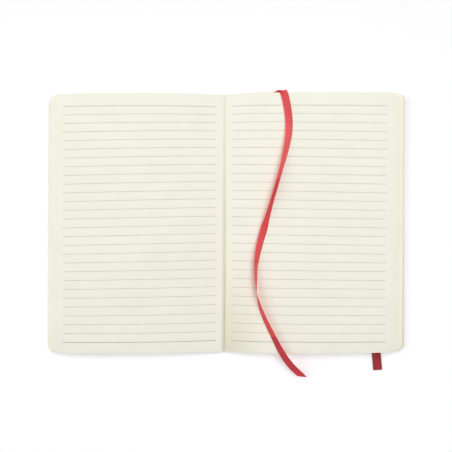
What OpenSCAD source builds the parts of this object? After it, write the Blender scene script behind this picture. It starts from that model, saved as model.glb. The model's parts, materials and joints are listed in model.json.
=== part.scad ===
// Ruled notebook with a soft flush-trimmed cover, lying open near its middle.
// X runs across the spread to the right-hand page, Y to the head and Z up.
// The origin is on the gutter line at mid-height, on the underside of the spine.
// All sizes are in millimetres.

/* [Leaves] */
// Width of a leaf from its fold to its fore-edge
leaf_w = 136.3; // [120:0.1:150]
// Height of a leaf from tail to head
leaf_h = 208.5; // [190:0.5:230]
// Radius of the outer corners of leaves and covers
corner_r = 6; // [4:0.5:10]
// Height of the open page above the table side of the spine, at the gutter
gutter_z = 1.8; // [1.6:0.1:2.6]
// Rise of the left-hand page from the gutter to its crest
front_rise = 7.6; // [5:0.1:8.5]
// Rise of the right-hand page from the gutter to its crest
back_rise = 7.6; // [5:0.1:8.5]
// Distance over which the left-hand page bends up out of the gutter
front_bend = 31; // [22:1:36]
// Distance over which the right-hand page bends up out of the gutter
back_bend = 13; // [10:0.5:24]
// Fall of the left-hand page from its crest to the fore-edge
front_droop = 2.4; // [1:0.1:3.6]
// Fall of the right-hand page from its crest to the fore-edge
back_droop = 1.9; // [1:0.1:3.6]

/* [Fore-edges] */
// Number of leaf bundles that fan out on the left
front_bundles = 4; // [2:1:6]
// Number of leaf bundles that fan out on the right
back_bundles = 6; // [2:1:8]
// How far the left-hand top leaf stops short of the lowest one
front_fan = 5.4; // [3:0.1:6]
// How far the right-hand top leaf stops short of the lowest one
back_fan = 11; // [8:0.1:12]
// Crowding of the left-hand fan's lower leaves at the edge, 1 for even steps
front_fan_curve = 1.2; // [1:0.1:3]
// Crowding of the right-hand fan's lower leaves at the edge, 1 for even steps
back_fan_curve = 2.8; // [1:0.1:3]

/* [Cover] */
// Thickness of the soft cover
cover_t = 1.1; // [0.9:0.1:1.5]
// Thickness of the endpaper glued inside each cover
endpaper_t = 0.25; // [0.15:0.05:0.35]
// Thickness of the cloth lining inside the spine
lining_t = 0.2; // [0.1:0.05:0.25]
// Share of the spine's width that lies left of the gutter
spine_share = 0.38; // [0.3:0.01:0.45]

/* [Ruling] */
// Distance between two ruled lines
line_pitch = 7; // [6.5:0.1:7.1]
// Number of ruled lines on a page
line_count = 28; // [20:1:28]
// Height of the first ruled line above mid-height
first_line_y = 94.1; // [90:0.1:96]
// Width of a ruled line
line_w = 0.35; // [0.3:0.05:0.5]
// Distance of the lines' inner ends from the gutter
line_inset = 7; // [6:0.5:9]
// Distance of the lines' outer ends from the top leaf's fore-edge
line_margin = 6.4; // [5:0.1:9]

/* [Closure band] */
// Width of the flat elastic band
band_w = 6.8; // [5:0.1:8]
// Thickness of the flat elastic band
band_t = 0.6; // [0.5:0.05:0.7]
// Distance of the band's middle from the cover's fore-edge
band_inset = 22.5; // [18:0.1:30]
// How far the slack loop stands out past the tail of the book
band_loop = 16; // [8:0.5:20]
// Length of each band end glued under the endpaper
band_anchor = 25; // [15:1:40]
// Turn of the slack loop in plan, in degrees
band_turn = 5; // [0:1:8]

/* [Ribbon marker] */
// Width of the ribbon
ribbon_w = 6; // [4:0.1:6.5]
// Thickness of the ribbon
ribbon_t = 0.4; // [0.3:0.05:0.45]

/* [Hidden] */
$fn = 64;

// Colours
cover_red = [0.62, 0.15, 0.18];
ribbon_red = [0.84, 0.27, 0.31];
page_ivory = [0.95, 0.94, 0.87];
rule_grey = [0.62, 0.61, 0.55];
lining_white = [0.9, 0.88, 0.82];

// Room between the two crests of the closed book, for the ribbon and air
close_room = 0.9;
// Sharpness of a page's fall towards the fore-edge
droop_power = 4;
// Gap left in the cover at each crease line
crease_gap = 0.1;
// Distance of the stacks and endpapers from the crease lines
stack_setback = 0.5;
endpaper_setback = 0.3;
// Reach of the bound margins past the crease lines
gutter_reach = 0.3;
// Undersides of the two stacks and of the bound margins
stack_z = cover_t + endpaper_t;
root_z = cover_t + lining_t;
half_h = leaf_h / 2;
// Height that covers any page, for cutting outlines
clear_z = 30;
// Pieces of straight line in a page's curve
curve_steps = 16;
// Distance by which the leaves stop short of the cover
flush_gap = 0.3;
// Thickness of a ruled line above the paper
line_t = 0.1;
// Air under the band's outer run, and depth of its bed in the cover
band_air = 0.1;
band_bed = 0.7;
band_side_gap = 0.2;
// Length of the loop at the head, where the band is drawn tight
band_tight = 1.9;
// Clearance of the ribbon above the paper
ribbon_lift = 0.25;

function mix(a, b, t) = a + (b - a) * t;

// Height of a page at a distance u from the gutter. A page's form is
// [rise, bend, droop].
function page_z(u, form) =
    gutter_z + form[0] * (1 - exp(-u / form[1])) - form[2] * pow(u / leaf_w, droop_power);
function crest_z(form) = max([for (i = [0:100]) page_z(leaf_w * i / 100, form)]);

front_form = [front_rise, front_bend, front_droop];
back_form = [back_rise, back_bend, back_droop];
// The closed book is as thick inside as both stacks together
spine_w = crest_z(front_form) + crest_z(back_form) - 2 * cover_t + close_room;
front_crease = spine_w * spine_share;
back_crease = spine_w - front_crease;

// Break points of the curve, closer together where the page bends most
function curve_u(from, to) =
    [for (i = [0:curve_steps]) mix(from, to, pow(i / curve_steps, 1.6))];

// Height of the straight pieces of that curve, at u
function facet_z(us, u, form, i = 0) =
    (i >= len(us) - 2 || u <= us[i + 1])
    ? mix(page_z(us[i], form), page_z(us[i + 1], form), (u - us[i]) / (us[i + 1] - us[i]))
    : facet_z(us, u, form, i + 1);

// Fore-edge of bundle k, counted from the lowest
function bundle_edge(k, count, low, fan, curve) = low - fan * pow(k / (count - 1), curve);

function front_edge(k) =
    bundle_edge(k, front_bundles, front_crease + leaf_w - flush_gap, front_fan,
        front_fan_curve);
function back_edge(k) =
    bundle_edge(k, back_bundles, back_crease + leaf_w - flush_gap, back_fan,
        back_fan_curve);

front_us = curve_u(front_crease + stack_setback, front_edge(front_bundles - 1));
back_us = curve_u(back_crease + stack_setback, back_edge(back_bundles - 1));

// Plan outline from x = from to x = to, with two round corners at the far end
module leaf_outline(from, to) {
    translate([from, -half_h])
        square([to - corner_r - from, leaf_h]);
    translate([to - corner_r - 1, corner_r - half_h])
        square([corner_r + 1, leaf_h - 2 * corner_r]);
    for (side = [-1, 1])
        translate([to - corner_r, side * (half_h - corner_r)])
            circle(r = corner_r);
}

// A flat sheet of that outline
module sheet(from, to, floor_z, thickness) {
    translate([0, 0, floor_z])
        linear_extrude(height = thickness)
            leaf_outline(from, to);
}

// A section in X and Z, drawn along Y over the given height of the book
module along_book(points, length) {
    rotate([90, 0, 0])
        linear_extrude(height = length, center = true)
            polygon(points);
}

// One bundle of leaves: the curved section cut to the round-cornered outline
module bundle(us, from, to, form, share) {
    section = concat(
        [[from, stack_z]],
        [for (u = us) if (u >= from && u < to) bundle_point(u, form, share)],
        [bundle_point(to, form, share), [to, stack_z]]
    );
    intersection() {
        along_book(section, leaf_h);
        sheet(from, to, 0, clear_z);
    }
}

function bundle_point(u, form, share) = [u, mix(stack_z, page_z(u, form), share)];

// A stack of leaves whose bundles stop one behind the other at the fore-edge
module stack(us, count, low, fan, curve, form) {
    top_edge = bundle_edge(count - 1, count, low, fan, curve);
    bundle(us, us[0], top_edge, form, 1);
    for (k = [0:count - 2])
        bundle(us, us[curve_steps - 1], bundle_edge(k, count, low, fan, curve), form,
            (k + 1) / count);
}

// The ruled lines of one page, lying on its curve
module ruling(us, from, to, form) {
    inner = [for (u = us) if (u > from && u < to) u];
    us_line = concat([from], inner, [to]);
    upper = [for (u = us_line) [u, facet_z(us, u, form) + line_t]];
    lower = [for (i = [len(us_line) - 1:-1:0]) [us_line[i], facet_z(us, us_line[i], form)]];
    for (n = [0:line_count - 1])
        translate([0, first_line_y - n * line_pitch, 0])
            along_book(concat(upper, lower), line_w);
}

// Bed for one glued end of the band, open at the book's edge
module band_bed_cut(side) {
    x = back_crease + leaf_w - band_inset;
    w = band_w + 2 * band_side_gap;
    translate([x - w / 2, side > 0 ? half_h - band_anchor : -half_h - 1, cover_t - band_bed])
        cube([w, band_anchor + 1, band_bed + 1]);
}

module back_cover() {
    color(cover_red)
        difference() {
            sheet(back_crease + crease_gap / 2, back_crease + leaf_w, 0, cover_t);
            band_bed_cut(1);
            band_bed_cut(-1);
        }
}

module front_cover() {
    color(cover_red)
        mirror([1, 0, 0])
            sheet(front_crease + crease_gap / 2, front_crease + leaf_w, 0, cover_t);
}

module spine_cover() {
    color(cover_red)
        translate([crease_gap / 2 - front_crease, -half_h, 0])
            cube([spine_w - crease_gap, leaf_h, cover_t]);
}

module back_endpaper() {
    color(page_ivory)
        sheet(back_crease + endpaper_setback, back_crease + leaf_w - flush_gap,
            cover_t, endpaper_t);
}

module front_endpaper() {
    color(page_ivory)
        mirror([1, 0, 0])
            sheet(front_crease + endpaper_setback, front_crease + leaf_w - flush_gap,
                cover_t, endpaper_t);
}

module spine_lining() {
    color(lining_white)
        translate([crease_gap - front_crease, -half_h, cover_t])
            cube([spine_w - 2 * crease_gap, leaf_h, lining_t]);
}

module back_pages() {
    color(page_ivory)
        stack(back_us, back_bundles, back_edge(0), back_fan, back_fan_curve, back_form);
}

module front_pages() {
    color(page_ivory)
        mirror([1, 0, 0])
            stack(front_us, front_bundles, front_edge(0), front_fan, front_fan_curve,
                front_form);
}

// The bound inner margins of the leaves, dipping to the gutter line
module page_gutter() {
    reach_l = front_crease + gutter_reach;
    reach_r = back_crease + gutter_reach;
    left = [for (i = [0:6])
        [-mix(reach_l, 0, i / 6), page_z(mix(reach_l, 0, i / 6), front_form)]];
    right = [for (i = [1:8])
        [mix(0, reach_r, i / 8), page_z(mix(0, reach_r, i / 8), back_form)]];
    color(page_ivory)
        along_book(concat([[-reach_l, root_z]], left, right, [[reach_r, root_z]]), leaf_h);
}

module back_ruling() {
    color(rule_grey)
        ruling(back_us, max(line_inset, back_us[0] + 0.2),
            back_edge(back_bundles - 1) - line_margin, back_form);
}

module front_ruling() {
    color(rule_grey)
        mirror([1, 0, 0])
            ruling(front_us, max(line_inset, front_us[0] + 0.2),
                front_edge(front_bundles - 1) - line_margin, front_form);
}

// Section of the band in Y and Z, as a flat run and half-round bend past y = 0
module band_bend_section(run) {
    inner_r = (cover_t - 0.05 - band_t + band_air) / 2;
    outer_r = inner_r + band_t;
    low = -band_air - band_t;
    reach = run - outer_r;
    translate([0, low])
        square([reach, band_t]);
    translate([0, low + 2 * inner_r + band_t])
        square([reach, band_t]);
    translate([reach, low + outer_r])
        difference() {
            circle(r = outer_r);
            circle(r = inner_r);
            translate([-2 * outer_r, -2 * outer_r])
                square([2 * outer_r, 4 * outer_r]);
        }
}

// That section drawn across the band's width, with the bend towards +Y
module band_bend(run) {
    translate([-band_w / 2, 0, 0])
        rotate([90, 0, 90])
            linear_extrude(height = band_w)
                band_bend_section(run);
}

// The outer run lies under the back cover, the ends lie in their beds under the
// endpaper, and the slack stands out past the tail as a turned loop
module elastic_band() {
    x = back_crease + leaf_w - band_inset;
    top_z = cover_t - 0.05;
    color(cover_red)
        translate([x, 0, 0]) {
            translate([-band_w / 2, -half_h - 0.5, -band_air - band_t])
                cube([band_w, leaf_h + 0.7, band_t]);
            for (side = [-1, 1])
                translate([-band_w / 2, side > 0 ? half_h - band_anchor + 0.5 : -half_h - 0.5,
                    top_z - band_t])
                    cube([band_w, band_anchor, band_t]);
            translate([0, half_h, 0])
                band_bend(band_tight);
            translate([0, -half_h - 0.2, 0])
                rotate([0, 0, 180 + band_turn])
                    band_bend(band_loop - 0.2);
        }
}

// Route of the ribbon: along the head of the leaves on its edge, over the head
// of the right-hand page, down the page in one long curve and out past the tail.
// Stretch at the head: distance along X, distance out from the head, share of
// the page's height, the direction of the ribbon's width, and the share of it
// that stands open where the ribbon comes out pinched from the spine.
ribbon_head = [
    [13, 0.35, 0.42, [0, 0, 1], 0.62],
    [18, 0.35, 0.43, [0, 0, 1], 0.68],
    [24, 0.35, 0.44, [0, 0, 1], 0.76],
    [30, 0.4, 0.47, [0, 0, 1], 0.84],
    [35, 0.5, 0.52, [-0.1, 0, 1], 0.9],
    [39, 0.8, 0.6, [-0.3, 0, 1], 0.95],
    [42, 1.2, 0.72, [-0.6, 0, 1], 1],
    [44.2, 1.4, 0.86, [-1, 0, 0.7], 1],
    [45.8, 1.5, 0.99, [-1, 0, 0.3], 1],
    [46.8, 1.1, 1.08, [-1, 0, 0], 1]
];
// Stretch on the page: X and Y
ribbon_page = [
    [47.4, 102.6], [48.4, 99], [49.4, 95], [50.4, 90], [51.4, 83], [51.6, 76],
    [51, 69], [49.8, 62], [48.2, 54], [46, 45], [43.4, 36], [40.6, 27],
    [37.8, 17], [34.6, 6], [31.4, -5], [28.6, -15], [26.4, -25], [25.1, -35],
    [25, -45], [26.2, -55], [28.8, -65], [32.4, -75], [36.8, -84], [40.8, -92],
    [44, -98.6]
];
// Stretch past the tail: X, distance out from the tail, share of the page's height
ribbon_tail = [
    [46.6, 0.2, 1.03], [48.6, 2.6, 0.99], [51.4, 6, 0.88], [54.6, 10, 0.69],
    [58.4, 14.6, 0.48], [62.6, 20, 0.28]
];

scale_x = leaf_w / 136.3;
scale_y = leaf_h / 208.5;

function back_z(x) = page_z(abs(x), back_form);

function ribbon_point(p) = [p[0] * scale_x, p[1] * scale_y,
    back_z(p[0] * scale_x) + ribbon_lift + ribbon_t / 2];

ribbon_route = concat(
    [for (p = ribbon_head)
        [p[0] * scale_x, half_h + p[1] * scale_y, back_z(p[0] * scale_x) * p[2]]],
    [for (p = ribbon_page) ribbon_point(p)],
    [for (p = ribbon_tail)
        [p[0] * scale_x, -half_h - p[1] * scale_y, p[2] * back_z(p[0] * scale_x)]]
);
ribbon_across = concat(
    [for (p = ribbon_head) p[3]],
    [for (p = concat(ribbon_page, ribbon_tail)) [-1, 0, 0]]
);
ribbon_open = concat(
    [for (p = ribbon_head) p[4]],
    [for (p = concat(ribbon_page, ribbon_tail)) 1]
);

function unit(v) = v / norm(v);
function route_heading(i) =
    unit(ribbon_route[min(i + 1, len(ribbon_route) - 1)] - ribbon_route[max(i - 1, 0)]);
function route_side(i) =
    let (t = route_heading(i), s = ribbon_across[i])
    unit(s - t * (s * t));

// Outline of the ribbon's section, as shares of its half width and half thickness
ribbon_section = [[1, 0.5], [0.9, 1], [-0.9, 1], [-1, 0.5], [-1, -0.5], [-0.9, -1],
    [0.9, -1], [1, -0.5]];

function ribbon_ring(i) =
    let (t = route_heading(i), s = route_side(i), n = cross(t, s))
    [for (p = ribbon_section)
        ribbon_route[i] + s * p[0] * ribbon_open[i] * ribbon_w / 2
            + n * p[1] * ribbon_t / 2];

module ribbon_marker() {
    rings = len(ribbon_route);
    sides = len(ribbon_section);
    points = [for (i = [0:rings - 1]) for (p = ribbon_ring(i)) p];
    walls = [for (i = [0:rings - 2]) for (j = [0:sides - 1])
        [i * sides + j, i * sides + (j + 1) % sides,
            (i + 1) * sides + (j + 1) % sides, (i + 1) * sides + j]];
    start = [[for (j = [sides - 1:-1:0]) j]];
    end = [[for (j = [0:sides - 1]) (rings - 1) * sides + j]];
    color(ribbon_red)
        polyhedron(points = points, faces = concat(walls, start, end), convexity = 6);
}

back_cover();
front_cover();
spine_cover();
back_endpaper();
front_endpaper();
spine_lining();
back_pages();
front_pages();
page_gutter();
back_ruling();
front_ruling();
elastic_band();
ribbon_marker();
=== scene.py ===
"""Looks of an open soft-cover ruled notebook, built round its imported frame."""

import json
import math

import bpy
import numpy as np
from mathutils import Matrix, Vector


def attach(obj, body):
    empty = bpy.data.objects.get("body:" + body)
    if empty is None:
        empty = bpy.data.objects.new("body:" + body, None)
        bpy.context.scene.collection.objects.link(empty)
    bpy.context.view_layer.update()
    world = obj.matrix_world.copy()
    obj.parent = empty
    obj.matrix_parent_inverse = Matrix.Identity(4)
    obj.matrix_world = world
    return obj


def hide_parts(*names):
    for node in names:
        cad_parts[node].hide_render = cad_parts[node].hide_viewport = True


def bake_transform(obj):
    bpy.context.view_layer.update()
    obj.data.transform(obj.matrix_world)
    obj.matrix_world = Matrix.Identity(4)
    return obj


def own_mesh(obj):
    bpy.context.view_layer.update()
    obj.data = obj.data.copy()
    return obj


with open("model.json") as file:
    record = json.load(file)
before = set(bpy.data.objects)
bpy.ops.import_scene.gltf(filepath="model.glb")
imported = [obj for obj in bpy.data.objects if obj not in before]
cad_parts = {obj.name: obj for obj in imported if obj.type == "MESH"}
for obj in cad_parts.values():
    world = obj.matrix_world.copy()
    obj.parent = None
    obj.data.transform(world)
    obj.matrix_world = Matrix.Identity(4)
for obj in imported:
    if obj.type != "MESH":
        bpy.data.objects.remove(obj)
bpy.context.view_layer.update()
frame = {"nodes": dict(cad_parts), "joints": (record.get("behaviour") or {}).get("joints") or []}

# ---------------------------------------------------------------- sizes, in metres
MM = 0.001
LEAF_W = 136.3 * MM
LEAF_H = 208.5 * MM
HALF_H = LEAF_H / 2
CORNER_R = 6 * MM
GUTTER_Z = 1.8 * MM
COVER_T = 1.1 * MM
STACK_Z = 1.35 * MM
ROOT_Z = 1.3 * MM
DROOP_POWER = 4
TABLE_Z = -0.7 * MM
# rise, bend and droop of each page, and how much it lifts or dips at the tail by the gutter
FRONT_FORM = (7.6 * MM, 31 * MM, 2.4 * MM, 0.5 * MM)
BACK_FORM = (7.6 * MM, 13 * MM, 1.9 * MM, -1.4 * MM)
FRONT_FAN = 6.05 * MM
BACK_FAN = 10.55 * MM
FRONT_CREASE = -frame["joints"][1]["pos_m"][0]
BACK_CREASE = frame["joints"][0]["pos_m"][0]
SPINE_MIDDLE = (BACK_CREASE - FRONT_CREASE) / 2

RNG = np.random.default_rng(7)


def page_z(u, form):
    """Height of a page at distance u from the gutter."""
    rise, bend, droop, _ = form
    return GUTTER_Z + rise * (1 - np.exp(-u / bend)) - droop * (u / LEAF_W) ** DROOP_POWER


# ---------------------------------------------------------------- mesh helpers
def new_object(name, verts, faces, smooth=True):
    mesh = bpy.data.meshes.new(name)
    mesh.from_pydata([tuple(map(float, v)) for v in verts], [], faces)
    mesh.update()
    if smooth:
        mesh.polygons.foreach_set("use_smooth", [True] * len(mesh.polygons))
    obj = bpy.data.objects.new(name, mesh)
    bpy.context.collection.objects.link(obj)
    return obj


def set_uv(obj, uv):
    """uv: one (u, v) for each vertex."""
    layer = obj.data.uv_layers.new(name="UVMap")
    loops = np.empty(len(obj.data.loops), dtype=np.int32)
    obj.data.loops.foreach_get("vertex_index", loops)
    layer.data.foreach_set("uv", np.asarray(uv, dtype=np.float32)[loops].ravel())


def give(obj, *materials):
    obj.data.materials.clear()
    for m in materials:
        obj.data.materials.append(m)


class Build:
    """Collects the vertices, faces, map and material slots of one mesh."""

    def __init__(self):
        self.verts, self.uv, self.faces, self.slots = [], [], [], []

    def face(self, corners, slot=0):
        self.faces.append(corners)
        self.slots.append(slot)

    def grid(self, points, uvs, slot=0, flip=False, close=False):
        """points and uvs: rows of equal length. close: joins each row's end to its start."""
        points = np.asarray(points, float)
        rows, cols = points.shape[:2]
        start = len(self.verts)
        self.verts.extend(points.reshape(-1, 3).tolist())
        self.uv.extend(np.asarray(uvs, float).reshape(-1, 2).tolist())
        for i in range(rows - 1):
            for j in range(cols if close else cols - 1):
                k = (j + 1) % cols
                q = [start + i * cols + j, start + i * cols + k,
                     start + (i + 1) * cols + k, start + (i + 1) * cols + j]
                self.face(q[::-1] if flip else q, slot)

    def done(self, name, materials):
        obj = new_object(name, self.verts, self.faces)
        set_uv(obj, self.uv)
        give(obj, *materials)
        obj.data.polygons.foreach_set("material_index", self.slots)
        obj.data.update()
        return obj


def unit(v):
    return v / np.linalg.norm(v, axis=-1, keepdims=True)


def run_along(points):
    """Distance of each point from the first, along the line through them."""
    steps = np.linalg.norm(np.diff(points, axis=0), axis=1)
    return np.concatenate([[0], np.cumsum(steps)])


def square_to(heading, across):
    """The width directions of a strip, made square to its headings."""
    return unit(across - heading * np.sum(across * heading, axis=1, keepdims=True))


def strip_map(share, width, gone):
    """Map of one lengthwise row of a strip, in metres: U across it and V along it."""
    return np.stack([np.full_like(gone, (share + 1) / 2 * width), gone], -1)


# ---------------------------------------------------------------- shader helpers
def put(tree, socket, value):
    """Links a socket to the one given, or sets its value."""
    if isinstance(value, bpy.types.NodeSocket):
        tree.links.new(value, socket)
    else:
        socket.default_value = (*value, 1) if socket.type == "RGBA" else value


def fill(tree, n, *inputs, **values):
    """Sets up a node: inputs go to its sockets in their order, values to its properties or
    to the sockets of those names, where _ stands for a blank."""
    for key, value in values.items():
        if key in n.bl_rna.properties:
            setattr(n, key, value)
        else:
            put(tree, n.inputs[key.replace("_", " ")], value)
    for socket, value in zip(n.inputs, inputs):
        put(tree, socket, value)
    return n


def add(tree, kind, *inputs, **values):
    return fill(tree, tree.nodes.new(kind), *inputs, **values)


def new_material(name, base, rough, **values):
    """A material with its node tree and Principled shader."""
    m = bpy.data.materials.new(name)
    m.use_nodes = True
    shader = fill(m.node_tree, m.node_tree.nodes["Principled BSDF"],
                  Base_Color=base, Roughness=rough, **values)
    return m, m.node_tree, shader


def object_place(tree):
    return add(tree, "ShaderNodeTexCoord").outputs["Object"]


def map_place(tree):
    return add(tree, "ShaderNodeUVMap").outputs["UV"]


def stretched(tree, where, across, along):
    return add(tree, "ShaderNodeMapping", Vector=where,
               Scale=(across, along, 1.0)).outputs["Vector"]


def axes(tree, where):
    """The X, Y and Z of a place."""
    return tuple(add(tree, "ShaderNodeSeparateXYZ", where).outputs)


def calc(tree, operation, *terms):
    return add(tree, "ShaderNodeMath", *terms, operation=operation).outputs["Value"]


def ranged(tree, value, **limits):
    return add(tree, "ShaderNodeMapRange", value, **limits).outputs["Result"]


def smooth_ranged(tree, value, **limits):
    return ranged(tree, value, interpolation_type="SMOOTHSTEP", **limits)


def noise(tree, where, **values):
    return add(tree, "ShaderNodeTexNoise", Vector=where, **values).outputs["Fac"]


def bands(tree, where, direction, scale, **values):
    return add(tree, "ShaderNodeTexWave", Vector=where, wave_type="BANDS",
               bands_direction=direction, Scale=scale, **values).outputs["Fac"]


def bump(tree, height, strength, distance, **under):
    return add(tree, "ShaderNodeBump", Height=height, Strength=strength, Distance=distance,
               **under).outputs["Normal"]


def ramp(tree, place, stops):
    """Colours that change along the stops: (place, colour) each."""
    n = add(tree, "ShaderNodeValToRGB", place)
    elements = n.color_ramp.elements
    while len(elements) > 1:
        elements.remove(elements[-1])
    elements[0].position, elements[0].color = stops[0][0], (*stops[0][1], 1)
    for position, colour in stops[1:]:
        elements.new(position).color = (*colour, 1)
    return n.outputs["Color"]


def mixed(tree, share, first, second):
    """A colour between two, by the share of the second."""
    n = add(tree, "ShaderNodeMix", data_type="RGBA")
    # a colour mix takes its share at socket 0 and its colours at 6 and 7
    for i, value in ((0, share), (6, first), (7, second)):
        put(tree, n.inputs[i], value)
    return n.outputs[2]


def seen_by(tree, *kinds):
    """1 for the kinds of ray named, 0 for all others."""
    rays = add(tree, "ShaderNodeLightPath").outputs
    share = rays[kinds[0]]
    for kind in kinds[1:]:
        share = calc(tree, "MAXIMUM", share, rays[kind])
    return share


def finish_tree(tree, output, share, first, second):
    """Joins two shaders, by the share of the second, to the tree's output."""
    both = add(tree, "ShaderNodeMixShader", share, first, second)
    put(tree, tree.nodes[output].inputs["Surface"], both.outputs["Shader"])


def srgb(r, g, b):
    """A linear colour from 8-bit display values."""
    def lin(v):
        v /= 255
        return v / 12.92 if v <= 0.04045 else ((v + 0.055) / 1.055) ** 2.4
    return (lin(r), lin(g), lin(b))


# ---------------------------------------------------------------- paper and ink
PAGE = srgb(246, 244, 230)
PAGE_DARK = srgb(243, 241, 226)
PAGE_EDGE = srgb(247, 242, 219)
EDGE_MIDDLE = srgb(240, 234, 210)
EDGE_LINE = srgb(214, 206, 178)
# colour of the painted shade along the sewn fold
FOLD_SHADE = srgb(205, 196, 158)


def painted_fold_shade(tree, colour, dip_shade):
    """Paper painted darker along the sewn fold, a painted shade, wider and stronger towards the
    tail. The map's U runs from the gutter over the leaf's width and its V from tail to head.
    dip_shade: share of a broad faint painted shade where the page dips beside the fold at the
    tail."""
    u, v, _ = axes(tree, map_place(tree))
    reach = ranged(tree, v, To_Min=0.028, To_Max=0.012)
    depth = ranged(tree, v, To_Min=0.5, To_Max=0.16)
    near = smooth_ranged(tree, calc(tree, "DIVIDE", u, reach), From_Min=1.0, From_Max=0.0)
    share = calc(tree, "MULTIPLY", near, depth)
    if dip_shade:
        wide = smooth_ranged(tree, u, From_Min=0.26, From_Max=0.0)
        low = smooth_ranged(tree, v, From_Min=0.4, From_Max=0.0, To_Max=dip_shade)
        share = calc(tree, "MAXIMUM", share, calc(tree, "MULTIPLY", wide, low))
    return mixed(tree, share, colour, FOLD_SHADE)


def paper_material(name, base=PAGE, dark=PAGE_DARK, fold_shaded=False, dip_shade=0.0):
    """Uncoated paper: faint mottling, fine fibres and a light tooth."""
    m, tree, shader = new_material(name, base, 0.85, Specular_IOR_Level=0.25)
    where = object_place(tree)
    mottle = noise(tree, where, Scale=55.0, Detail=4.0, Roughness=0.6)
    fibres = noise(tree, where, Scale=2600.0, Detail=3.0, Roughness=0.7)
    colour = ramp(tree, mottle, [(0.3, dark), (0.7, base)])
    # painted shade along the sewn fold
    if fold_shaded:
        colour = painted_fold_shade(tree, colour, dip_shade)
    fill(tree, shader, Base_Color=colour, Normal=bump(tree, fibres, 0.35, 0.03 * MM))
    return m


paper = paper_material("ivory_paper")
# the pages' paper carries a painted shade along the fold, the right page's also a broad painted
# shade beside the fold at the tail
left_paper = paper_material("left_page_paper_fold_shade", fold_shaded=True)
right_paper = paper_material("right_page_paper_fold_shade", fold_shaded=True, dip_shade=0.36)
# painted shade: warmer paper for the fanned leaves' valley
valley_shade_paper = paper_material("fanned_paper_painted_shade", srgb(247, 244, 227), srgb(244, 241, 221))
# painted shade: darker paper for the outermost leaves' rim
rim_shade_paper = paper_material("rim_shade_paper", srgb(238, 231, 212), srgb(232, 225, 204))
# painted light: paler paper for the fanned leaves that slope away from the lamps
painted_light_paper = paper_material("painted_light_paper", srgb(253, 249, 232), srgb(251, 247, 228))


def leaf_edge_material():
    """Cut edges of the leaves: fine lines that run along the stack's layers."""
    m, tree, shader = new_material("leaf_edges", PAGE_EDGE, 0.9, Specular_IOR_Level=0.2)
    leaves = noise(tree, stretched(tree, map_place(tree), 9.0, 62.0), noise_dimensions="2D",
                   Scale=1.0, Detail=5.0, Roughness=0.75)
    tone = ramp(tree, leaves, [(0.36, EDGE_LINE), (0.47, EDGE_MIDDLE), (0.62, PAGE_EDGE)])
    fill(tree, shader, Base_Color=tone, Normal=bump(tree, leaves, 0.5, 0.12 * MM))
    return m


leaf_edges = leaf_edge_material()


def ink_material(name, colour):
    """Grey printing ink, a little broken up by the paper's tooth."""
    m, tree, shader = new_material(name, colour, 0.9, Specular_IOR_Level=0.1)
    speckle = noise(tree, object_place(tree), Scale=1500.0, Detail=2.0, Roughness=0.6)
    light = tuple(min(1.0, c * 1.16) for c in colour)
    dark = tuple(c * 0.86 for c in colour)
    fill(tree, shader, Base_Color=ramp(tree, speckle, [(0.35, dark), (0.65, light)]))
    return m


ink = ink_material("rule_ink", srgb(207, 204, 196))
bold_ink = ink_material("bold_rule_ink", srgb(190, 187, 178))

# ---------------------------------------------------------------- ribbon, elastic and cover
# painted sheen: how much paler the satin is painted at each Y, in mm, from the tail to the head,
# where it catches the light
PAINTED_SHEEN = [(-88, 0.5), (-76, 0.55), (-71, 0.9), (-50, 1.0), (-38, 0.9), (-31, 0.55), (-25, 0.75),
         (-17, 0.7), (-11, 0.5), (-5, 0.35), (2, 0.45), (10, 0.2), (15, 0.03), (28, 0.0),
         (31, 0.08), (37, 0.6), (41, 0.8), (48, 1.0), (75, 0.95), (82, 0.5), (89, 0.25),
         (108, 0.15)]
SHINE_REACH = 120 * MM
RIBBON_GLOW = srgb(255, 120, 124)


def painted_satin_sheen(tree, colour, shine):
    """The satin's colour with a painted sheen: painted paler where it catches the light along
    the ribbon.
    """
    _, y, _ = axes(tree, object_place(tree))
    along = ranged(tree, y, From_Min=-SHINE_REACH, From_Max=SHINE_REACH)
    share = ramp(tree, along, [((y_mm * MM / SHINE_REACH + 1) / 2, (much,) * 3)
                               for y_mm, much in PAINTED_SHEEN])
    return mixed(tree, share, colour, shine)


def ribbon_material(name, colour, dark, rough, glow=RIBBON_GLOW, shine=None):
    """Thin satin ribbon: fine cross threads and ribs, and light that shines through.
    shine: the paler colour of the painted sheen, where the satin catches the light."""
    m, tree, shader = new_material(name, colour, rough, Specular_IOR_Level=0.45)
    where = map_place(tree)
    threads = noise(tree, stretched(tree, where, 26.0, 1400.0), noise_dimensions="2D",
                    Scale=1.0, Detail=3.0, Roughness=0.6)
    ribs = bands(tree, where, "Y", 420.0, Distortion=0.4, Detail=1.0)
    tone = ramp(tree, threads, [(0.3, dark), (0.7, colour)])
    # painted sheen along the ribbon
    if shine:
        tone = painted_satin_sheen(tree, tone, shine)
    fill(tree, shader, Base_Color=tone, Normal=bump(tree, ribs, 0.35, 0.08 * MM))
    through = add(tree, "ShaderNodeBsdfTranslucent", Color=glow)
    finish_tree(tree, "Material Output", 0.5, shader.outputs["BSDF"], through.outputs["BSDF"])
    return m


ribbon_face = ribbon_material("ribbon_satin", srgb(236, 74, 86), srgb(226, 62, 74), 0.38,
                              shine=srgb(255, 134, 133))
ribbon_back = ribbon_material("ribbon_back", srgb(242, 88, 98), srgb(232, 74, 86), 0.42,
                              shine=srgb(255, 134, 138))
# the ribbon's end: the same satin painted darker, a painted shade where it turns from the light
ribbon_tail = ribbon_material("ribbon_tail", srgb(222, 92, 106), srgb(206, 76, 92), 0.48,
                              glow=srgb(236, 118, 126))


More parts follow.
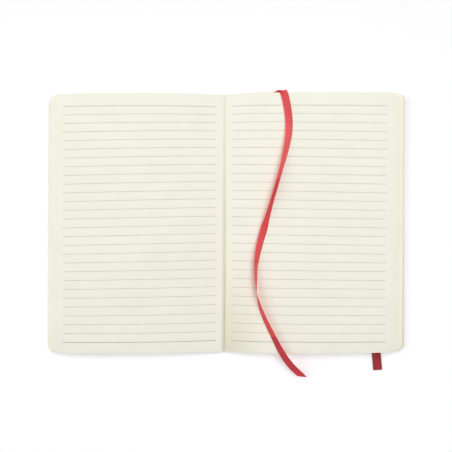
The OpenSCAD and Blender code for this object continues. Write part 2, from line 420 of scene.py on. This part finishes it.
def elastic_material():
    """Ribbed woven elastic: cords along its length, crossed by a fine weft."""
    m, tree, shader = new_material("ribbed_elastic", srgb(168, 44, 56), 0.7,
                                   Specular_IOR_Level=0.3, Sheen_Weight=0.2)
    where = map_place(tree)
    cords = bands(tree, where, "X", 324.0)
    weft = bands(tree, where, "Y", 560.0, Distortion=0.6, Detail=2.0)
    streaks = noise(tree, stretched(tree, where, 480.0, 30.0), noise_dimensions="2D",
                    Scale=1.0, Detail=3.0)
    depth = calc(tree, "MULTIPLY_ADD", cords, 0.25, streaks)
    tone = ramp(tree, depth, [(0.42, srgb(118, 23, 37)), (0.8, srgb(174, 45, 56))])
    fine = bump(tree, weft, 0.3, 0.06 * MM)
    fill(tree, shader, Base_Color=tone, Normal=bump(tree, cords, 0.5, 0.15 * MM, Normal=fine))
    return m


elastic = elastic_material()


def cover_material():
    """Matt imitation leather with a fine pebbled grain."""
    base = srgb(164, 38, 48)
    m, tree, shader = new_material("cover_grain", base, 0.55, Specular_IOR_Level=0.4)
    where = object_place(tree)
    pebbles = add(tree, "ShaderNodeTexVoronoi", Vector=where, Scale=1300.0,
                  Randomness=1.0).outputs["Distance"]
    clouds = noise(tree, where, Scale=30.0, Detail=5.0, Roughness=0.6)
    tone = ramp(tree, clouds, [(0.35, srgb(146, 30, 40)), (0.65, base)])
    rough = ranged(tree, pebbles, To_Min=0.48, To_Max=0.64)
    fill(tree, shader, Base_Color=tone, Roughness=rough,
         Normal=bump(tree, pebbles, 0.55, 0.12 * MM))
    return m


cover = cover_material()


def cloth_material():
    """Thin plain-woven lining cloth."""
    base = srgb(236, 230, 214)
    m, tree, shader = new_material("lining_cloth", base, 0.9)
    where = object_place(tree)
    weave = calc(tree, "MULTIPLY", *(bands(tree, where, way, 450.0) for way in ("X", "Y")))
    tone = ramp(tree, weave, [(0.0, srgb(222, 214, 196)), (1.0, base)])
    fill(tree, shader, Base_Color=tone, Normal=bump(tree, weave, 0.4, 0.1 * MM))
    return m


lining = cloth_material()

# ---------------------------------------------------------------- camera
PHOTO_PIXELS = 452
FOCAL_PIXELS = 440
SENSOR = 36
camera_data = bpy.data.cameras.new("camera")
camera_data.sensor_width = SENSOR
camera_data.lens = FOCAL_PIXELS / PHOTO_PIXELS * SENSOR
camera_data.clip_start = 0.01
camera = bpy.data.objects.new("camera", camera_data)
bpy.context.collection.objects.link(camera)
# straight above the book, and unturned, it looks down with the head at the top
camera.location = (1.3 * MM, -2.4 * MM, 360 * MM)
bpy.context.scene.camera = camera
bpy.context.scene.view_settings.view_transform = "Standard"

# ---------------------------------------------------------------- light
# the world lights the book only faintly, and shows the camera and reflections a pale backdrop
world = bpy.data.worlds.new("studio")
bpy.context.scene.world = world
world.use_nodes = True
studio = world.node_tree
ambient = fill(studio, studio.nodes["Background"], Color=(1, 1, 1), Strength=0.04)
backdrop = add(studio, "ShaderNodeBackground", Color=(0.8, 0.8, 0.8), Strength=1.0)
finish_tree(studio, "World Output", seen_by(studio, "Is Camera Ray", "Is Glossy Ray"),
            ambient.outputs["Background"], backdrop.outputs["Background"])

LAMP_DISTANCE = 1.25


def studio_light(name, azimuth, elevation, watts, size):
    """A soft light aimed at the book: azimuth 0 is the book's head, 90 its left side."""
    az, el = math.radians(azimuth), math.radians(elevation)
    place = Vector((-math.sin(az) * math.cos(el) * LAMP_DISTANCE,
                    math.cos(az) * math.cos(el) * LAMP_DISTANCE, math.sin(el) * LAMP_DISTANCE))
    data = bpy.data.lights.new(name, "AREA")
    data.shape = "SQUARE"
    data.size = size
    data.energy = watts
    lamp = bpy.data.objects.new(name, data)
    bpy.context.collection.objects.link(lamp)
    lamp.location = place
    lamp.rotation_euler = (-place).to_track_quat("-Z", "Y").to_euler()


studio_light("key", azimuth=80, elevation=38, watts=7.1, size=0.8)
studio_light("head_fill", azimuth=335, elevation=62, watts=8.1, size=0.9)
studio_light("right_fill", azimuth=255, elevation=62, watts=5.6, size=0.9)

# ---------------------------------------------------------------- table
TABLE_REACH = 3
GLOW_REACH = 0.2
GLOW_TAIL = 0.245
GLOW_HEAD = 0.116
table = new_object("table", [(x * TABLE_REACH, y * TABLE_REACH, TABLE_Z)
                             for x, y in ((-1, -1), (1, -1), (1, 1), (-1, 1))],
                   [(0, 1, 2, 3)], smooth=False)
table_white = bpy.data.materials.new("table_white")
table_white.use_nodes = True
table_tree = table_white.node_tree
table_tree.nodes.remove(table_tree.nodes["Principled BSDF"])
# a little light of its own, for the camera and reflections only, keeps the lit table at
# white; it grows towards the tail, which is farther from the lamps
plain = add(table_tree, "ShaderNodeBsdfDiffuse", Color=(0.87, 0.87, 0.88)).outputs["BSDF"]
level = ranged(table_tree, axes(table_tree, object_place(table_tree))[1],
               From_Min=-GLOW_REACH, From_Max=GLOW_REACH, To_Min=GLOW_TAIL, To_Max=GLOW_HEAD)
glow = add(table_tree, "ShaderNodeEmission", Strength=level).outputs["Emission"]
lit = add(table_tree, "ShaderNodeAddShader", plain, glow).outputs["Shader"]
shown = seen_by(table_tree, "Is Camera Ray", "Is Glossy Ray", "Is Transmission Ray")
finish_tree(table_tree, "Material Output", shown, plain, lit)
give(table, table_white)

# ---------------------------------------------------------------- form of the leaves
CORNER_STEPS = 8
# widths of the sewn fold's narrow valley, of its lips, and of the pull beyond them
VALLEY_W = 0.7 * MM
LIP_W = 8 * MM
PULL_START = 2 * MM
PULL_W = 26 * MM
# from the gutter: ends of the fold and of the page's bend, and where lean and skew set in
FOLD_END = 3 * MM
BEND_END = 30 * MM
LEAN_START = 40 * MM
LEAN_REACH = 60 * MM
SKEW_START = 60 * MM
WAVE = 0.09 * MM
FALL = 0.4 * MM
FALL_W = 11 * MM
# rows from tail to head, closer together by both ends
Y_SHARE = np.concatenate([
    np.linspace(-1, -0.955, 5), np.linspace(-0.94, 0.94, 49), np.linspace(0.955, 1, 5)])


def edge_half_height(u, edge):
    """Half height of a round-cornered leaf at u, for a fore-edge at edge."""
    over = np.clip(u - (edge - CORNER_R), 0, CORNER_R)
    return HALF_H - CORNER_R + np.sqrt(np.maximum(CORNER_R**2 - over**2, 0))


def edge_us(start, edge, straight):
    """Distances from start to a fore-edge, closer together in the round corner."""
    a = np.linspace(start, edge - CORNER_R, straight)
    t = np.linspace(0, math.pi / 2, CORNER_STEPS + 1)[1:]
    return np.concatenate([a, edge - CORNER_R + CORNER_R * np.sin(t)])


def surface_z(u, y, form, share):
    """Height of one leaf of the stack, with the slight unevenness of real paper."""
    z = STACK_Z + (page_z(u, form) - STACK_Z) * share
    wave = WAVE * np.sin(y * 31 + 0.6 + form[1] * 40) * np.sin(u * 38 + 1.1)
    fade = np.clip(u / BEND_END, 0, 1) * share
    # the fold of the sewn sheets: a narrow valley between two lips
    tail = np.clip(0.5 - y / HALF_H / 2, 0, 1)
    lip = (0.6 + 0.5 * tail) * MM * (1 - np.exp(-u / VALLEY_W)) * np.exp(-u / LIP_W)
    valley = (0.2 + 0.3 * tail) * MM * np.exp(-u / VALLEY_W)
    # towards the tail the sewn fold pulls one page down and pushes the other up
    pull = form[3] * tail**2 * (1 - np.exp(-u / PULL_START)) * np.exp(-u / PULL_W)
    # the leaves fall a little towards the head and the tail
    fall = FALL * np.clip((np.abs(y) - HALF_H) / FALL_W + 1, 0, 1) ** 2
    return z + wave * fade + (lip - valley + pull - fall) * share


def skewed(us, edge, y, skew):
    """Leaves aren't quite square in the stack: by the fore-edge u grows towards the head."""
    nearness = np.clip((us - SKEW_START) / (edge - SKEW_START), 0, 1)
    return us + skew * (y / HALF_H) * nearness


def leaning(u):
    """Share of a leaf's lean towards the head at u."""
    return np.clip((u - LEAN_START) / LEAN_REACH, 0, 1)


# ---------------------------------------------------------------- leaves
STRIP = 13 * MM
TUCK = 0.12 * MM
EDGE_JITTER = 0.16
EDGE_POINTS = 21
PAGE_SLOT, CUT_SLOT, VALLEY_SHADE_SLOT, RIM_SHADE_SLOT, PAINTED_LIGHT_SLOT = range(5)


def leaf_stack(name, form, sign, crease, fan, curve, low_edge, groups, lean, skews, swing,
               light_and_shade_tones):
    """One half of the block of leaves, from the gutter to the fanned fore-edge.
    fan, curve: how far the leaves spread at the fore-edge, and how unevenly,
    low_edge: fore-edge of the lowest leaf, groups: bundles of leaves,
    lean: how far the lowest leaf lies towards the head, skews: of top and lowest leaf,
    swing: how far all the leaves curve towards the head by the fore-edge,
    light_and_shade_tones: material slots of painted shade and painted light for the fanned
    leaves, each between two distances from the lowest one."""
    b = Build()
    top_edge = low_edge - fan

    def swung(u):
        return swing * (u / LEAF_W) ** 4

    def skew_at(step):
        return skews[1] + (skews[0] - skews[1]) * step

    def leaf_face(us, edge, share, skew, shift, slot):
        """Top face of one leaf, as far as its fore-edge."""
        ys = edge_half_height(us, edge)[:, None] * Y_SHARE
        uu = skewed(us[:, None], edge, ys, skew)
        zz = surface_z(uu, ys, form, share)
        b.grid(np.stack([sign * uu, ys + shift * leaning(uu) + swung(uu), zz], -1),
               np.stack([uu / LEAF_W, ys / LEAF_H + 0.5], -1), slot, flip=sign > 0)

    # the open page
    us = np.concatenate([np.linspace(0, FOLD_END, 13)[:-1],
                         np.linspace(FOLD_END, BEND_END, 25)[:-1],
                         edge_us(BEND_END, top_edge, 44)])
    leaf_face(us, top_edge, 1.0, skews[0], 0.0, PAGE_SLOT)

    # head and tail faces of the whole stack, up to the fan and, tucked in, just behind it
    wall_us = np.append(us[us <= top_edge - STRIP], [top_edge - STRIP, top_edge - STRIP + MM])
    tucked = HALF_H - np.where(wall_us > top_edge - STRIP, TUCK, 0)
    for side in (-1, 1):
        y = side * tucked
        rows, uvs = [], []
        for s in np.linspace(0, 1, 7):
            uw = skewed(wall_us, top_edge, y, skew_at(s))
            bottom = np.where(wall_us < crease, ROOT_Z, STACK_Z)
            shift = lean * (1 - s) * leaning(wall_us)
            rows.append(np.stack([
                sign * uw, y + shift + swung(uw),
                bottom + (surface_z(uw, y, form, 1.0) - bottom) * s], -1))
            uvs.append(np.stack([wall_us / LEAF_H, np.full_like(wall_us, s)], -1))
        b.grid(rows, uvs, CUT_SLOT, flip=(side * sign) > 0)

    # bundles of leaves, one behind the other
    steps = np.linspace(0, 1, groups)
    edges = low_edge - fan * steps**curve
    edges[1:-1] += RNG.uniform(-EDGE_JITTER, EDGE_JITTER, groups - 2) * MM
    shares = np.linspace(0, 1, groups + 1)
    for k, (edge, step) in enumerate(zip(edges, steps)):
        skew, shift = skew_at(step), lean * (1 - step)
        eus = edge_us(top_edge - STRIP, edge, 5)
        half = edge_half_height(eus, edge)
        # outline from the tail corner round to the head corner
        line_u = np.concatenate([eus, np.full(EDGE_POINTS, edge), eus[::-1]])
        line_y = np.concatenate([
            -half, np.linspace(-half[-1], half[-1], EDGE_POINTS + 2)[1:-1], half[::-1]])
        along = run_along(np.stack([line_u, line_y], -1))
        lu = skewed(line_u, edge, line_y, skew)
        ly = line_y + shift * leaning(line_u) + swung(lu)
        levels = shares[k:k + 2]
        b.grid([np.stack([sign * lu, ly, surface_z(lu, line_y, form, s)], -1) for s in levels],
               [np.stack([along / LEAF_H, np.full_like(line_u, s)], -1) for s in levels],
               CUT_SLOT, flip=sign < 0)
        if k < groups - 1:
            # each fanned leaf takes the paper listed for its distance from the lowest leaf;
            # these papers are painted shade and painted light
            tone = next((slot for slot, inner, outer in light_and_shade_tones
                         if inner * MM <= low_edge - edge < outer * MM), PAGE_SLOT)
            leaf_face(eus, edge, shares[k + 1], skew, shift, tone)
    obj = b.done(name, [left_paper if sign < 0 else right_paper, leaf_edges, valley_shade_paper,
                        rim_shade_paper, painted_light_paper])
    mod = obj.modifiers.new("edges", "EDGE_SPLIT")
    mod.split_angle = math.radians(40)
    return obj


# the block of leaves sits a little to the left in its cover
front_leaves = leaf_stack(
    "left_leaves", FRONT_FORM, -1, FRONT_CREASE, FRONT_FAN, curve=1.2,
    low_edge=FRONT_CREASE + LEAF_W + 0.35 * MM, groups=14, lean=0.0,
    skews=(0.5 * MM, -0.5 * MM), swing=-0.8 * MM, light_and_shade_tones=[(VALLEY_SHADE_SLOT, 2.2, 4.0)])
back_leaves = leaf_stack(
    "right_leaves", BACK_FORM, 1, BACK_CREASE, BACK_FAN, curve=2.8,
    low_edge=BACK_CREASE + LEAF_W - 0.75 * MM, groups=22, lean=0.7 * MM,
    skews=(0.8 * MM, 0.4 * MM), swing=0.6 * MM,
    light_and_shade_tones=[(RIM_SHADE_SLOT, 0, 1.2), (PAINTED_LIGHT_SLOT, 1.2, 4.6), (VALLEY_SHADE_SLOT, 5.2, 7.6)])

# ---------------------------------------------------------------- printed lines
LINES = 28
PITCH = 7 * MM
FIRST_Y = 94.1 * MM
LINE_W = 0.42 * MM
BOLD_W = 0.56 * MM
INK_LIFT = 0.05 * MM
BOW_POWER = 0.8


def line_shift(n, u, slope):
    """The printed lines lie a little towards the head, most in the middle of the page."""
    t = (n / (LINES - 1)) ** BOW_POWER
    return slope(u) * 4 * t * (1 - t)


def ruled_lines(name, form, sign, inner, outer, slope, tilt):
    """inner, outer: where the lines start and end, at head and tail. slope: how far the
    middle ones are shifted at u, tilt: how far each sinks by its outer end."""
    b = Build()
    for n in range(LINES):
        down = n / (LINES - 1)
        start = inner[0] + (inner[1] - inner[0]) * down
        stop = outer[0] + (outer[1] - outer[0]) * down
        us = np.concatenate([np.linspace(start, BEND_END, 14)[:-1],
                             np.linspace(BEND_END, stop, 30)])
        half = (BOLD_W if n in (0, LINES - 1) else LINE_W) / 2
        y = FIRST_Y - n * PITCH + line_shift(n, us, slope) - tilt * us / stop
        z = surface_z(us, y, form, 1.0) + INK_LIFT
        rows = [np.stack([sign * us, y + side * half, z], -1) for side in (-1, 1)]
        uvs = [np.stack([us / LEAF_W, np.full_like(us, n + side)], -1) for side in (0, 1)]
        b.grid(rows, uvs, 1 if n == LINES - 1 else 0, flip=sign < 0)
    return b.done(name, [ink, bold_ink])


front_lines = ruled_lines(
    "left_lines", FRONT_FORM, -1, inner=(7 * MM, 7 * MM), outer=(129.5 * MM, 129.5 * MM),
    slope=lambda u: 2.7 * MM - 0.0155 * u, tilt=0.75 * MM)
back_lines = ruled_lines(
    "right_lines", BACK_FORM, 1, inner=(7 * MM, 5.7 * MM), outer=(130.3 * MM, 129 * MM),
    slope=lambda u: 2.15 * MM - 0.0145 * u, tilt=0.3 * MM)

# ---------------------------------------------------------------- ribbon marker
RIBBON_W = 6 * MM
RIBBON_T = 0.26 * MM
RIBBON_LIFT = 0.12 * MM
RIBBON_STEPS = 7
RIM_SHARE = 0.45
SLANT = 0.42
SLANT_REACH = 8 * MM
RIBBON_CREASE_Y = -88.8 * MM
# Along the head of the leaves: X, distance out from the head, height as a share of
# the page's, direction of the ribbon's width, share of the full width
RIBBON_HEAD = [
    (13, -0.8, 0.42, (0, 0, 1), 0.62), (18, 0.3, 0.42, (0, 0, 1), 0.68),
    (24, 0.35, 0.42, (0, 0, 1), 0.74), (30, 0.35, 0.43, (0, 0, 1), 0.8),
    (35, 0.35, 0.45, (-0.1, 0, 1), 0.86), (39, 0.4, 0.52, (-0.3, 0, 1), 0.92),
    (42.2, 0.8, 0.66, (-0.5, 0, 1), 0.95), (44.2, 1.3, 0.84, (-0.7, 0, 0.8), 0.94),
    (45.8, 1.5, 0.99, (-0.8, -0.1, 0.5), 0.94), (46.9, 0.7, 1.07, (-1, 0, 0.15), 0.95),
]
# Down the page: X, Y, and how far the ribbon is turned about its own length, in degrees
RIBBON_PAGE = [
    (47.9, 102.6, 1), (48.9, 99, 3), (49.7, 95, 5), (50.6, 90, 7), (51.4, 83, 12),
    (51.5, 76, 17), (50.9, 69, 27), (49.7, 62, 36), (47.9, 54, 44), (45.6, 45, 54),
    (43.1, 36, 57), (40.5, 27, 58), (37.6, 17, 57), (34.5, 6, 48), (31.4, -5, 22),
    (28.6, -15, 25), (26.4, -25, 42), (25.1, -35, 58), (25.1, -45, 66), (25.7, -55, 86),
    (27.8, -65, 111), (31.6, -75, 122), (35.9, -84, 127), (39.9, -92, 132), (43.1, -98.4, 140),
]
# Past the tail: X, distance out, height as a share of the page's, turn in degrees
RIBBON_TAIL = [
    (46.4, 0, 1.02, 146), (48.1, 2.8, 0.98, 149), (50.4, 6.1, 0.86, 151),
    (52.9, 9.4, 0.7, 152), (55.6, 12.6, 0.52, 152), (58.4, 15.5, 0.36, 152),
    (61, 18.1, 0.24, 152), (63, 20.3, 0.16, 152),
]


def spline(values, per):
    """Points on a smooth curve through the given rows, per steps between two rows."""
    v = np.asarray(values, float)
    ends = np.vstack([2 * v[0] - v[1], v, 2 * v[-1] - v[-2]])
    out = []
    for i in range(1, len(ends) - 2):
        p0, p1, p2, p3 = ends[i - 1:i + 3]
        for t in np.linspace(0, 1, per, endpoint=False):
            out.append(0.5 * (2 * p1 + (p2 - p0) * t + (2 * p0 - 5 * p1 + 4 * p2 - p3) * t**2
                              + (3 * p1 - p0 - 3 * p2 + p3) * t**3))
    out.append(ends[-2])
    return np.array(out)


def ribbon_route():
    """Rows of point, width direction and width share along the whole ribbon."""
    rows = [(x * MM, HALF_H + out * MM, page_z(x * MM, BACK_FORM) * share, *across, width)
            for x, out, share, across, width in RIBBON_HEAD]
    flat = [(x * MM, y * MM, 1.0, turn) for x, y, turn in RIBBON_PAGE]
    flat += [(x * MM, -HALF_H - out * MM, share, turn) for x, out, share, turn in RIBBON_TAIL]
    heading = unit(np.gradient(np.array([p[:2] for p in flat]), axis=0))
    for (x, y, share, turn), (hx, hy) in zip(flat, heading):
        a = -math.radians(turn)
        across = -(math.cos(a) * np.array([-hy, hx, 0.0]) + math.sin(a) * np.array([0, 0, 1.0]))
        # turned on edge, the ribbon stands on its lower edge
        stand = RIBBON_W / 2 * abs(math.sin(a)) + RIBBON_T / 2 + RIBBON_LIFT
        rows.append((x, y, page_z(x, BACK_FORM) * share + stand, *across, 1.0))
    route = spline(rows, RIBBON_STEPS)
    return route[:, :3], route[:, 3:6], route[:, 6]


def make_ribbon():
    """The ribbon, the points along its middle and its length."""
    points, across, width = ribbon_route()
    heading = unit(np.gradient(points, axis=0))
    side = square_to(heading, across)
    normal = np.cross(heading, side)
    gone = run_along(points)
    # the end is cut across at a slant
    slant = np.clip(1 - (gone[-1] - gone) / SLANT_REACH, 0, 1) ** 2
    b = Build()

    def lengthwise(s, face):
        """One row of points along a face, thinner at both edges."""
        thick = RIBBON_T / 2 * (RIM_SHARE if abs(s) == 1 else 1)
        return (points + side * (s * RIBBON_W / 2 * width)[:, None] + normal * (face * thick)
                + heading * (s * RIBBON_W * SLANT * slant)[:, None])

    # past a slight crease near the tail the ribbon's upper face is painted darker: painted shade
    # where its end turns from the light
    bend = int(np.argmax(points[:, 1] < RIBBON_CREASE_Y))
    for slot, face, part in ((0, -1, slice(None)), (1, 1, slice(0, bend + 1)),
                             (2, 1, slice(bend, None))):
        shares = np.linspace(-1, 1, 9)
        b.grid([lengthwise(s, face)[part] for s in shares],
               [strip_map(s, RIBBON_W, gone)[part] for s in shares], slot, flip=face < 0)
    for s in (-1, 1):
        b.grid([lengthwise(s, face) for face in (-1, 1)],
               [strip_map(s, RIBBON_W, gone)] * 2, 1, flip=s < 0)
    return b.done("ribbon", [ribbon_face, ribbon_back, ribbon_tail]), points, gone[-1]


ribbon, ribbon_points, ribbon_length = make_ribbon()
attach(ribbon, "back_half")
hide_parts("ribbon_marker")
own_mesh(ribbon)

# ---------------------------------------------------------------- elastic band
BAND_W = 6.8 * MM
BAND_T = 0.6 * MM
BAND_X = BACK_CREASE + LEAF_W - 22.5 * MM
BAND_LOW = -0.4 * MM
BAND_HIGH = 0.75 * MM
BAND_END = 24 * MM
BAND_RIBS = 9
RIB_STEPS = 6
RIB_DEPTH = 0.09 * MM
# the band thins past this share of its half width, to this share of its thickness
BAND_RIM = 0.97
BAND_RIM_T = 0.6
HEAD_REACH = HALF_H + 1.03 * MM
TAIL_RUN = 14.93 * MM
TAIL_TURN = math.radians(5)
TAIL_START = -HALF_H - 0.2 * MM
# the loop turns off the straight run between these distances before and past its start
TURN_IN = 2 * MM
TURN_OUT = 1.5 * MM


def half_turn(steps):
    """Angles within a half turn, without its ends."""
    return np.linspace(0, math.pi, steps)[1:-1]


def band_path():
    """Centre line of the band: (Y, z, whether it belongs to the loop past the tail)."""
    bend = (BAND_HIGH - BAND_LOW) / 2
    middle = (BAND_HIGH + BAND_LOW) / 2
    rows = [(y, BAND_HIGH, False) for y in np.linspace(HALF_H - BAND_END, HEAD_REACH, 5)]
    rows += [(HEAD_REACH + bend * math.sin(a), middle + bend * math.cos(a), False)
             for a in half_turn(10)]
    rows += [(y, BAND_LOW, False) for y in np.linspace(HEAD_REACH, TAIL_START + TURN_IN, 24)]
    rows += [(TAIL_START - d, BAND_LOW, True) for d in np.linspace(TURN_OUT, TAIL_RUN, 7)]
    rows += [(TAIL_START - TAIL_RUN - bend * math.sin(a), middle - bend * math.cos(a), True)
             for a in half_turn(12)]
    rows += [(TAIL_START - d, BAND_HIGH, True) for d in np.linspace(TAIL_RUN, TURN_OUT, 7)]
    rows += [(y, BAND_HIGH, False)
             for y in np.linspace(TAIL_START + TURN_IN, -HALF_H + BAND_END, 5)]
    return rows


def make_band():
    points, sides = [], []
    for y, z, in_loop in band_path():
        turn = TAIL_TURN if in_loop else 0.0
        start = TAIL_START if in_loop else y
        d = start - y
        points.append((BAND_X + d * math.sin(turn), start - d * math.cos(turn), z))
        sides.append((math.cos(turn), math.sin(turn), 0))
    points = np.array(points)
    heading = unit(np.gradient(points, axis=0))
    sides = square_to(heading, np.array(sides, float))
    normal = np.cross(heading, sides)
    gone = run_along(points)
    # section: rounded cords side by side, above and below
    shares = np.linspace(-1, 1, BAND_RIBS * RIB_STEPS + 1)
    ribs = 0.5 - 0.5 * np.cos((shares + 1) * math.pi * BAND_RIBS + math.pi)
    depth = (BAND_T / 2 - RIB_DEPTH * ribs) * np.where(np.abs(shares) > BAND_RIM, BAND_RIM_T, 1)
    section = [*zip(shares, depth), *zip(shares[::-1], -depth[::-1])]
    rings = np.array([points + sides * s * BAND_W / 2 + normal * d for s, d in section])
    uvs = np.array([strip_map(s, BAND_W, gone) for s, d in section])
    b = Build()
    b.grid(rings.transpose(1, 0, 2), uvs.transpose(1, 0, 2), close=True)
    count = len(section)
    last = (len(points) - 1) * count
    b.face(list(range(count))[::-1])
    b.face([last + i for i in range(count)])
    return b.done("elastic_strap", [elastic])


band = make_band()
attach(band, "back_half")
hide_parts("elastic_band")

# ---------------------------------------------------------------- cover
EDGE_ROUND = 0.3 * MM
GROOVE_W = 1.6 * MM
GROOVE_D = 0.22 * MM
GROOVE_ZONE = 3 * MM


def cover_skin(name, sign, crease):
    """Half of the soft cover: from the middle of the spine to the fore-edge."""
    far = crease + LEAF_W
    b = Build()
    us = np.unique(np.concatenate([
        np.linspace(sign * SPINE_MIDDLE, crease - GROOVE_ZONE, 6),
        np.linspace(crease - GROOVE_ZONE, crease + GROOVE_ZONE, 25),
        edge_us(crease + GROOVE_ZONE, far, 30)]))
    groove = GROOVE_D * np.exp(-((2 * (us - crease) / GROOVE_W) ** 2))

    def outline(inset):
        """u and half height of the outline, moved in from the edge."""
        return np.minimum(us, far - inset), edge_half_height(us, far) - inset

    ux, half = outline(EDGE_ROUND)
    # the outside with its groove, then the inside
    for z, outside in ((groove, True), (np.full_like(us, COVER_T), False)):
        uu, y, zz = np.broadcast_arrays(ux[:, None], half[:, None] * Y_SHARE, z[:, None])
        b.grid(np.stack([sign * uu, y, zz], -1), np.stack([uu, y], -1),
               flip=(sign < 0) != outside)
    # the rounded rim between them: how far in from the outline, and the height
    rim = [(EDGE_ROUND * (1 - math.sin(a)), EDGE_ROUND * (1 - math.cos(a)))
           for a in np.linspace(0, math.pi / 2, 5)]
    loops = []
    for inset, z in rim + [(i, COVER_T - h) for i, h in rim[::-1]]:
        ux, half = outline(inset)
        zz = np.where(z < COVER_T / 2, z + groove * (1 - z / (COVER_T / 2)), z)
        loops.append(np.stack([sign * np.concatenate([ux, ux[::-1]]),
                               np.concatenate([-half, half[::-1]]),
                               np.concatenate([zz, zz[::-1]])], -1))
    b.grid(loops, [loop[:, :2] for loop in loops], flip=sign > 0)
    return b.done(name, [cover])


cover_left = cover_skin("cover_left", -1, FRONT_CREASE)
cover_right = cover_skin("cover_right", 1, BACK_CREASE)


def bind(obj):
    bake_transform(obj)


bind(front_leaves)
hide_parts("front_pages", "page_gutter")
bind(front_lines)
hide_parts("front_ruling")
bind(back_leaves)
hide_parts("back_pages", "page_gutter")
bind(back_lines)
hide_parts("back_ruling")
bind(cover_left)
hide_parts("front_cover", "spine_cover")
bind(cover_right)
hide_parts("back_cover", "spine_cover")

for name in ("back_endpaper", "front_endpaper"):
    give(frame["nodes"][name], paper)
give(frame["nodes"]["spine_lining"], lining)
